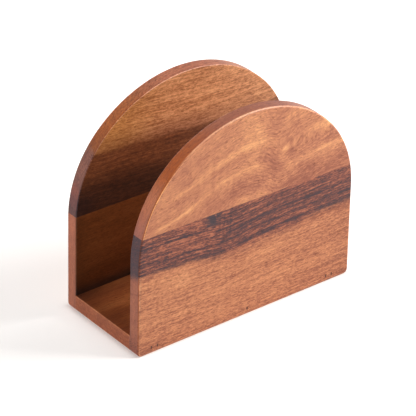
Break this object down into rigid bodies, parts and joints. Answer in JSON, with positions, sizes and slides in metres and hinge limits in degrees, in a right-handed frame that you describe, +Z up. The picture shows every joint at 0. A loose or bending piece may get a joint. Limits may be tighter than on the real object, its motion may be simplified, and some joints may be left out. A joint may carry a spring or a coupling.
{
  "type": "napkin holder",
  "caption": "Upright wooden napkin holder with two arched panels on a flat base, open at both ends and along the top.",
  "frame": {"origin": "centre of the flat underside, midway between the two panels and between their ends", "axes": "+X along the panels, +Y from the front panel to the back panel, +Z up"},
  "size_m": [0.152, 0.067, 0.132],
  "materials": {
    "front_upper_wood": "golden brown acacia, satin oil",
    "front_lower_wood": "reddish brown acacia with a dark heartwood streak along its upper edge, satin oil",
    "back_upper_wood": "brown acacia, dark along its lower edge, satin oil",
    "back_lower_wood": "reddish brown acacia, satin oil",
    "base_wood": "reddish brown acacia, satin oil",
    "brad_steel": "plain wire",
    "wood_putty": "dark brown putty, sanded flush"
  },
  "bodies": {
    "root": {"front_upper_board": "front_upper_wood", "front_lower_board": "front_lower_wood", "back_upper_board": "back_upper_wood", "back_lower_board": "back_lower_wood", "base_board": "base_wood", "front_brads": "brad_steel", "back_brads": "brad_steel", "front_putty_plugs": "wood_putty", "back_putty_plugs": "wood_putty"}
  },
  "joints": []
}
